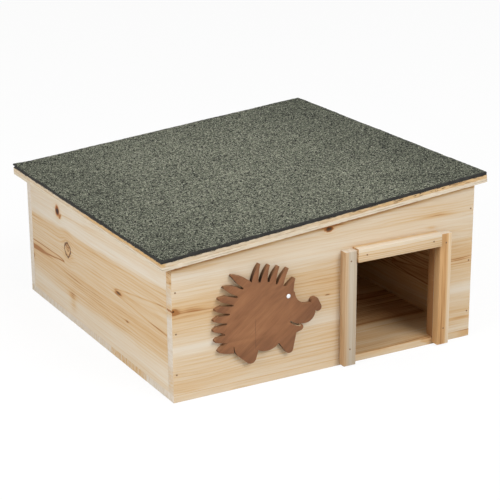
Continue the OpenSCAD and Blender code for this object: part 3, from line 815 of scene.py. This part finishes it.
class Slab:
    """The tilted box of a roof layer: its lowest front corner, its three directions and its three sizes."""

    def __init__(self, node):
        corners = [vertex.co for vertex in CAD[node].data.vertices]
        front_y = min(c.y for c in corners)
        front = [c for c in corners if c.y < front_y + MM]
        foot = min(front, key=lambda c: c.z)
        top_low = min(front, key=lambda c: c.x)
        top_high = max(front, key=lambda c: c.z)
        self.length = (top_high - top_low).length
        self.depth = max(c.y for c in corners) - front_y
        self.thickness = (top_low - foot).length
        along = (top_high - top_low).normalized()
        up = (top_low - foot).normalized()
        turn = Matrix((along, Vector((0, 1, 0)), up)).transposed()
        self.matrix = Matrix.Translation(foot) @ turn.to_4x4()


def rim(length, depth, spacing):
    """Points round a rectangle, with the way out of it at each."""
    points = []
    for start, way, out in (
        ((0, 0), (1, 0), (0, -1)),
        ((length, 0), (0, 1), (1, 0)),
        ((length, depth), (-1, 0), (0, 1)),
        ((0, depth), (0, -1), (-1, 0)),
    ):
        run = length if way[0] else depth
        count = round(run / spacing)
        for i in range(count):
            step = run * i / count
            place = Vector((start[0] + way[0] * step, start[1] + way[1] * step, 0))
            points.append((place, Vector((*out, 0))))
    return points


def skirt(work, lower, upper):
    """Faces between two loops of vertices."""
    count = len(lower)
    for i in range(count):
        j = (i + 1) % count
        work.faces.new((lower[i], lower[j], upper[j], upper[i]))


def layered_roof_board(material):
    """Roof board with two plies whose sawn edges are torn and stand a little in or out."""
    slab = Slab("roof_board")
    outline = rim(slab.length, slab.depth, RIM_PITCH_MM * MM)
    groove = PLY_GROOVE_MM * MM
    chip_size, chip_depth = EDGE_CHIP_MM
    pair_shift, loop_shift = PLY_SHIFT
    work = bmesh.new()
    loops = []
    for number, out_mm in enumerate(PLY_OUT_MM):
        seed = Vector((number // 2 * pair_shift, number * loop_shift, 0.0))
        loop = []
        for point, outward in outline:
            ply_line = PLY_LINE_MM * MM - PLY_FALL * point.x
            levels = (0.0, ply_line - 2 * groove, ply_line - groove, ply_line, ply_line + groove,
                      slab.thickness)
            torn = sum(noise.noise(point / (size * MM) + seed) * depth for size, depth in EDGE_TEARS_MM)
            place = point + outward * (out_mm + torn) * MM
            height = levels[number]
            if number == 0:
                height += max(noise.noise(point / (chip_size * MM) - seed), 0.0) * chip_depth * MM
            loop.append(work.verts.new((place.x, place.y, height)))
        loops.append(loop)
    for lower, upper in zip(loops, loops[1:]):
        skirt(work, lower, upper)
    work.faces.new(list(reversed(loops[0])))
    work.faces.new(loops[-1])
    piece = add_piece("roof_board_plies", to_mesh(work, "roof_board_plies", sharp_degrees=50), "roof",
                      "roof_plywood", material, "roof_board")
    piece.matrix_world = slab.matrix


def felt_height(x, y):
    """How far the felt's face stands above or below its mean, in mm, at a place on the roof."""
    return sum(noise.noise(Vector((x, y, layer)) / (size * MM)) * height
               for size, layer, height in FELT_RELIEF_MM)


def near_corner(point, corner, reach_mm):
    """1 at a corner, falling to 0 at the given distance from it."""
    return max(0.0, 1 - (point - corner).length / (reach_mm * MM))


def rough_felt(slab, material):
    """Felt sheet with a grainy face, a frayed rim, and a far corner that is split and lifted."""
    pitch = FELT_PITCH_MM * MM
    columns = round(slab.length / pitch)
    rows = round(slab.depth / pitch)
    far_corner = Vector((0, slab.depth, 0))
    work = bmesh.new()
    grid = []
    for i in range(columns + 1):
        line = []
        for j in range(rows + 1):
            x = slab.length * i / columns
            y = slab.depth * j / rows
            on_rim_x = (i == 0) - (i == columns)
            on_rim_y = (j == 0) - (j == rows)
            lift = near_corner(Vector((x, y, 0)), far_corner, LIFT_REACH_MM) ** 2 * LIFT_MM
            z = slab.thickness + (felt_height(x, y) + lift) * MM
            if on_rim_x or on_rim_y:
                fray = sum(noise.noise(Vector((x, y, layer)) / (size * MM)) for size, layer in RIM_FRAYS_MM)
                drawn_in = (RIM_IN_MM + RIM_FRAY_MM * fray) * MM
                x += on_rim_x * drawn_in
                y += on_rim_y * drawn_in
                z -= RIM_DROP_MM * MM
            line.append(work.verts.new((x, y, z)))
        grid.append(line)
    for i in range(columns):
        for j in range(rows):
            work.faces.new((grid[i][j], grid[i + 1][j], grid[i + 1][j + 1], grid[i][j + 1]))
    top = [grid[i][0] for i in range(columns)] + [grid[columns][j] for j in range(rows)]
    top += [grid[i][rows] for i in range(columns, 0, -1)] + [grid[0][j] for j in range(rows, 0, -1)]
    middle = Vector((slab.length / 2, slab.depth / 2, 0))
    inner_x = middle.x - NEAR_RIM_MM * MM
    inner_y = middle.y - NEAR_RIM_MM * MM
    fray_size, fray_depth = EDGE_FRAY_MM
    loops = [top]
    for number, (level, out_mm, split_mm) in enumerate(FELT_EDGE_MM):
        layer = Vector((0, 0, LOOP_LAYER * number))
        loop = []
        for vertex in top:
            flat = Vector((vertex.co.x, vertex.co.y, 0))
            across = flat - middle
            outward = Vector((math.copysign(abs(across.x) > inner_x, across.x),
                              math.copysign(abs(across.y) > inner_y, across.y), 0))
            fray = noise.noise(vertex.co / (fray_size * MM) + layer) * fray_depth
            opened = near_corner(flat, far_corner, SPLIT_REACH_MM) * split_mm
            place = vertex.co + outward * (out_mm + fray - opened) * MM
            loop.append(work.verts.new((place.x, place.y, slab.thickness * level)))
        loops.append(loop)
    for upper, lower in zip(loops, loops[1:]):
        skirt(work, lower, upper)
    work.faces.new(list(reversed(loops[-1])))
    piece = add_piece("roof_felt_sheet", to_mesh(work, "roof_felt_sheet", sharp_degrees=60), "roof",
                      "roof_felt", material, "roof_felt")
    piece.matrix_world = slab.matrix


def granules(slab, material):
    """Loose chips pressed into the felt's face, as one mesh of small irregular stones."""
    draw = random.Random(CHIP_SEED)
    work = bmesh.new()
    tones = []
    margin = CHIP_MARGIN_MM * MM
    for _ in range(CHIP_COUNT):
        x = draw.uniform(margin, slab.length - margin)
        y = draw.uniform(margin, slab.depth - margin)
        size = draw.uniform(*CHIP_MM) * MM
        turn = Matrix.Rotation(draw.uniform(0, math.pi), 3, "Z")
        centre = Vector((x, y, slab.thickness + felt_height(x, y) * MM))
        tone = draw.choice(CHIP_TONES)
        if draw.random() < PALE_CHIPS:
            tone += PALE_LIFT
        corners = []
        for end in CHIP_ENDS:
            reach = Vector(end) * size * draw.uniform(*CHIP_REACH)
            corners.append(work.verts.new(centre + turn @ reach))
            tones.append(tone)
        for face in CHIP_FACES:
            work.faces.new([corners[k] for k in face])
    mesh = bpy.data.meshes.new("felt_granules")
    work.to_mesh(mesh)
    work.free()
    attribute = mesh.attributes.new("tone", "FLOAT", "POINT")
    attribute.data.foreach_set("value", tones)
    piece = add_piece("felt_granules", mesh, "roof", "roof_felt", material)
    piece.matrix_world = slab.matrix


# The object

def build_boards():
    """Every board with its own grain. The two walls that the photo shows follow its bands and knots."""
    worn_board("front_wall", "wall_pine", pine(
        "front_wall_pine", "xzy", 1.0, wander=7, reveal_shade=0.8, lines=0.62, eaves_shade=True,
        tones=((0, 0.33), (16, 0.33), (25, 0.52), (38, 0.54), (46, 0.46), (60, 0.42), (68, 0.14), (76, 0.34),
               (84, 0.48), (100, 0.56), (110, 0.66), (116, 0.7), (124, 0.64), (134, 0.56), (142, 0.47),
               (149, 0.35), (156, 0.33), (172, 0.3), (181, 0.39), (200, 0.35), (220, 0.35)),
        end_tones=((0, 0.4), (40, 0.5), (55, 0.26), (110, 0.22), (116, 0.6), (126, 0.6), (132, 0.35),
                   (150, 0.5), (158, 0.74), (180, 0.78), (220, 0.8)),
        # depth_tones: painted shade that darkens the inner face, for the dim inside of the house
        depth_tones=((-234, 0.0), (-223, 0.0), (-221, 0.35), (-220, 0.35)),
        knots=(Knot(-223.2, 121, 2.2, 1.2, 0.8), Knot(-2, 190.5, 4.2, 1.8, 0.9),
               Knot(-3, 102, 0.9, 4.0, 0.6)),
        stains_and_shades=(StainOrShade(-200, 120, 24, 3.5, 0.25), StainOrShade(-221, 121, 6, 4, 0.5), StainOrShade(160, 181, 28, 4, 0.3),
                StainOrShade(157, 164, 7, 2, 0.3), StainOrShade(212, 118, 26, 34, 0.055), StainOrShade(206, 116, 18, 3, 0.25),
                # The patch at (-190, 174.5) is painted shade: the roof's shadow along the wall's top near
                # the low end
                StainOrShade(206, 28, 18, 2.5, 0.2), StainOrShade(-190, 174.5, 42, 3, 0.3),
                StainOrShade(-190, 164, 46, 4, -0.08), StainOrShade(-5, 110, 24, 22, 0.06),
                StainOrShade(14, 191, 22, 1.6, 0.3), StainOrShade(-205, 16, 22, 2.5, 0.25))))
    worn_board("low_side_wall", "wall_pine", pine(
        "low_side_wall_pine", "yzx", 2.0, wander=3.0, fan=(-0.0075, 0.039), lines=0.8,
        tones=((10, 0.3), (20, 0.27), (34, 0.22), (40, 0.33), (46, 0.45), (50, 0.6), (56, 0.6), (74, 0.62),
               (79, 0.52), (86, 0.44), (95, 0.52), (110, 0.52), (118, 0.58), (130, 0.59), (134, 0.4),
               (138, 0.14), (146, 0.14), (152, 0.26), (160, 0.2), (180, 0.25)),
        # depth_tones: painted shade that darkens the inner face, for the dim inside of the house
        depth_tones=((-225, 0.0), (-214, 0.0), (-212, 0.35), (-211, 0.35)),
        knots=(Knot(121.5, 152.6, 8.4, 0.84, 1.0),
               Knot(90, 104.7, 10.5, 1.0, 0.9, True), Knot(88.5, 107.5, 4.6, 1.0, 0.7, True),
               Knot(-78, 95, 2.6, 4.2, 0.8), Knot(221, 58, 5.0, 0.9, 0.75), Knot(-103, 63.7, 1.4, 3.2, 0.5)),
        flames=(Flame(-62, 94, -158, 17.5, 5.5, 1.0), Flame(100, 86, 122, 7.0, -6.5, 2.0)),
        stains_and_shades=(StainOrShade(112.5, 154, 4.5, 3.2, 1.0), StainOrShade(77, 32, 11, 15, 0.3), StainOrShade(84, 42, 16, 4, 0.25),
                StainOrShade(80, 155.5, 44, 1.2, 0.35), StainOrShade(10, 158, 24, 2.0, 0.3), StainOrShade(190, 80, 42, 5, 0.4),
                StainOrShade(200, 14, 40, 2.5, 0.2))))
    worn_board("back_wall", "wall_pine", pine(
        "back_wall_pine", "xzy", 3.0, wander=8, lines=0.8, end_tones=((0, 0.16), (220, 0.16)),
        tones=((0, 0.4), (40, 0.3), (70, 0.52), (96, 0.56), (120, 0.36), (140, 0.22), (165, 0.46),
               (220, 0.4)),
        # depth_tones: painted shade that darkens the inner face, for the dim inside of the house
        depth_tones=((220, 0.35), (221, 0.35), (223, 0.0), (234, 0.0)),
        knots=(Knot(-120, 70, 6.0, 1.2, 0.85), Knot(86, 138, 4.6, 1.3, 0.95),
               Knot(150, 44, 8.0, 1.1, 0.7, True)),
        flames=(Flame(-50, 104, 270, 26, 6, 0.9), Flame(-150, 60, -90, 9, -3, 0.8)),
        stains_and_shades=(StainOrShade(-60, 150, 30, 4, 0.2), StainOrShade(30, 30, 40, 3, 0.2))))
    worn_board("high_side_wall", "wall_pine", pine(
        "high_side_wall_pine", "yzx", 4.0, wander=6, fan=(0.01, -0.02), lines=0.8,
        tones=((0, 0.4), (30, 0.28), (52, 0.5), (90, 0.56), (112, 0.42), (134, 0.2), (160, 0.3), (190, 0.52),
               (220, 0.45)),
        # depth_tones: painted shade that darkens the inner face, for the dim inside of the house
        depth_tones=((211, 0.35), (212, 0.35), (214, 0.0), (225, 0.0)),
        knots=(Knot(-130, 150, 5.6, 1.2, 0.95), Knot(40, 86, 3.0, 2.6, 0.8),
               Knot(150, 40, 8.5, 1.05, 0.7, True)),
        flames=(Flame(46, 86, 170, 20, -5, 1.0), Flame(-60, 60, -150, 14, 4, 0.8)),
        stains_and_shades=(StainOrShade(-90, 152, 34, 2, 0.25), StainOrShade(110, 175, 30, 4, 0.2))))
    worn_board("partition", "wall_pine", pine(
        "partition_pine", "yzx", 5.0, wander=7,
        tones=((0, 0.7), (60, 0.8), (110, 0.68), (150, 0.82), (220, 0.75)),
        knots=(Knot(-60, 120, 4.6, 1.3, 0.9),), flames=(Flame(-40, 80, 120, 16, 0, 0.9),)))
    worn_board("floor_panel", "floor_pine", pine(
        "floor_panel_pine", "xyz", 6.0, wander=7, saw_marks=1.5,
        # The first stops darken the floor board's front edge strip: painted shade against the light the
        # studio floor throws back on it
        tones=((-234, 0.46), (-230, 0.46), (-227, 0.36), (-157, 0.36), (-155, 0.6), (-50, 0.58),
               (-48, 0.36), (58, 0.4), (60, 0.28), (165, 0.3), (167, 0.44), (234, 0.42)),
        end_tones=((-234, 0.24), (-157, 0.24), (-155, 0.6), (-50, 0.6), (-48, 0.28), (58, 0.26), (60, 0.2),
                   (165, 0.2), (167, 0.3), (234, 0.3)),
        # depth_tones: painted shade that darkens the top face, the floor inside the house
        depth_tones=((0, 0.0), (8.6, 0.0), (9.6, 0.3), (10, 0.3)),
        knots=(Knot(-90, 60, 5.6, 1.2, 0.85), Knot(120, -60, 4.6, 1.3, 0.8)),
        flames=(Flame(-120, 110, 230, 24, 0, 0.9), Flame(100, -100, -240, 22, 4, 0.9))), arris_mm=0.4)
    worn_board("left_jamb", "trim_pine", pine(
        "left_jamb_pine", "zxy", 7.0, palette=GREY_PINE, wander=1.4, pitch=3.4, lines=0.4,
        tones=((16, 0.68), (20, 0.58), (23, 0.36), (26, 0.16), (29, 0.28), (34, 0.26))), arris_mm=0.6)
    worn_board("right_jamb", "trim_pine", pine(
        "right_jamb_pine", "zxy", 8.0, palette=GOLD_PINE, wander=1.2, pitch=3.4, lines=0.3,
        tones=((164, 0.76), (168, 0.75), (175, 0.73), (177, 0.26), (182, 0.1))), arris_mm=0.6)
    worn_board("entrance_header", "trim_pine", pine(
        "entrance_header_pine", "xzy", 9.0, wander=1.6, pitch=3.4, lines=1.0,
        tones=((143, 0.6), (150, 0.56), (155, 0.44), (158.5, 0.2), (160, 0.22), (161, 0.25)),
        end_tones=((143, 0.88), (161, 0.88)),
        depth_tones=((-249, 0.0), (-242, 0.0), (-239, 0.42), (-234, 0.5))), arris_mm=0.5)


def paint_nodes(material, *names):
    """Gives CAD nodes that stay in view a material."""
    for name in names:
        for slot in CAD[name].material_slots:
            slot.material = material


build_boards()
sawn_plaque(stained_wood())
eye_stud(white_enamel())
layered_roof_board(plywood())
felt = Slab("roof_felt")
rough_felt(felt, mineral_felt(felt.length / MM, felt.depth / MM))
granules(felt, loose_granules())
paint_nodes(zinc(), "front_hinge_wall_leaf", "front_hinge_roof_leaf", "front_hinge_pin",
            "rear_hinge_wall_leaf", "rear_hinge_roof_leaf", "rear_hinge_pin",
            "wall_leaf_screws", "roof_leaf_screws")
paint_nodes(brad_steel(), "front_wall_brads", "back_wall_brads", "floor_brads", "partition_brads",
            "jamb_brads", "header_brads")


# Camera, floor and light

LENS_MM = 113.57
SENSOR_MM = 36
CAMERA_AT = Vector((-1.0081, -1.8382, 0.8147))
YAW, PITCH, ROLL = (math.radians(degrees) for degrees in (29.080, 19.016, 0.324))

# Half the floor's width in metres
FLOOR_HALF = 6.0

# Share of the light that the floor throws back at the object, and the floor as the camera sees it: a glow
# that is nearly white, and the share that takes the object's shadow
FLOOR_BOUNCE = 0.7
FLOOR_GLOW = 0.9
FLOOR_SHADE = 0.11

# Rays that see the floor and the world as a white backdrop
BACKDROP_RAYS = ("Is Camera Ray", "Is Glossy Ray", "Is Transmission Ray")

# Light from straight above, and how steeply up a direction points, from 0 level to 1 upright, where the sky
# starts to give light and where it gives all of it
SKY_LIGHT = 0.64
SKY_FROM = 0.15
SKY_FULL = 0.9

# A round lamp's place and width in metres and its power in watts, and the point that all lamps face
Lamp = namedtuple("Lamp", "name at width power")
LAMPS = (
    Lamp("key", (1.1, -2.95, 2.4), 2.4, 87.5),
    Lamp("fill", (-2.85, -0.8, 1.5), 1.9, 57.5),
)
LAMP_TARGET = Vector((0, 0, 0.1))


def add_camera():
    """The photo's camera."""
    forward = Vector((math.sin(YAW) * math.cos(PITCH), math.cos(YAW) * math.cos(PITCH), -math.sin(PITCH)))
    level = Vector((math.cos(YAW), -math.sin(YAW), 0))
    down = forward.cross(level)
    right = level * math.cos(ROLL) + down * math.sin(ROLL)
    up = level * math.sin(ROLL) - down * math.cos(ROLL)
    data = bpy.data.cameras.new("camera")
    data.lens = LENS_MM
    data.sensor_width = SENSOR_MM
    camera = bpy.data.objects.new("camera", data)
    turn = Matrix((right, up, -forward)).transposed()
    camera.matrix_world = Matrix.Translation(CAMERA_AT) @ turn.to_4x4()
    bpy.context.scene.collection.objects.link(camera)
    bpy.context.scene.camera = camera


def add_floor():
    """A pale floor that the camera sees as nearly white, with the object's soft shadow."""
    work = bmesh.new()
    bmesh.ops.create_grid(work, x_segments=1, y_segments=1, size=FLOOR_HALF)
    mesh = bpy.data.meshes.new("studio_floor")
    work.to_mesh(mesh)
    work.free()
    floor = bpy.data.objects.new("studio_floor", mesh)
    bpy.context.scene.collection.objects.link(floor)
    sh = Shade("studio_floor_white")
    rays = sh.tree.nodes.new("ShaderNodeLightPath")
    seen = 0.0
    for kind in BACKDROP_RAYS:
        seen = sh.math("MAXIMUM", seen, Out(sh, rays.outputs[kind]))
    sh.feed(sh.surface.inputs["Base Color"], FLOOR_BOUNCE + seen * (FLOOR_SHADE - FLOOR_BOUNCE))
    sh.feed(sh.surface.inputs["Emission Strength"], seen * FLOOR_GLOW)
    sh.surface.inputs["Emission Color"].default_value = (1, 1, 1, 1)
    sh.surface.inputs["Roughness"].default_value = 1.0
    sh.surface.inputs["Specular IOR Level"].default_value = 0.0
    mesh.materials.append(sh.material)


def add_lamp(lamp):
    data = bpy.data.lights.new(lamp.name, "AREA")
    data.shape = "DISK"
    data.size = lamp.width
    data.energy = lamp.power
    piece = bpy.data.objects.new(lamp.name, data)
    piece.location = lamp.at
    piece.rotation_euler = (LAMP_TARGET - Vector(lamp.at)).to_track_quat("-Z", "Y").to_euler()
    bpy.context.scene.collection.objects.link(piece)


def add_world():
    """Light that grows from nothing near the horizon to its full level overhead, seen as plain white."""
    world = bpy.data.worlds.new("studio")
    bpy.context.scene.world = world
    world.use_nodes = True
    nodes, links = world.node_tree.nodes, world.node_tree.links
    background = nodes["Background"]
    background.inputs["Color"].default_value = (1, 1, 1, 1)
    way = nodes.new("ShaderNodeTexCoord")
    parts = nodes.new("ShaderNodeSeparateXYZ")
    links.new(way.outputs["Generated"], parts.inputs[0])
    sky = nodes.new("ShaderNodeMapRange")
    sky.inputs["From Min"].default_value = SKY_FROM
    sky.inputs["From Max"].default_value = SKY_FULL
    sky.inputs["To Min"].default_value = 0.0
    sky.inputs["To Max"].default_value = SKY_LIGHT
    links.new(parts.outputs["Z"], sky.inputs["Value"])
    rays = nodes.new("ShaderNodeLightPath")
    level = sky.outputs["Result"]
    for kind in BACKDROP_RAYS:
        node = nodes.new("ShaderNodeMath")
        node.operation = "MAXIMUM"
        links.new(rays.outputs[kind], node.inputs[0])
        links.new(level, node.inputs[1])
        level = node.outputs[0]
    links.new(level, background.inputs["Strength"])


add_camera()
add_floor()
add_world()
for studio_lamp in LAMPS:
    add_lamp(studio_lamp)

bpy.context.scene.view_settings.view_transform = "Standard"
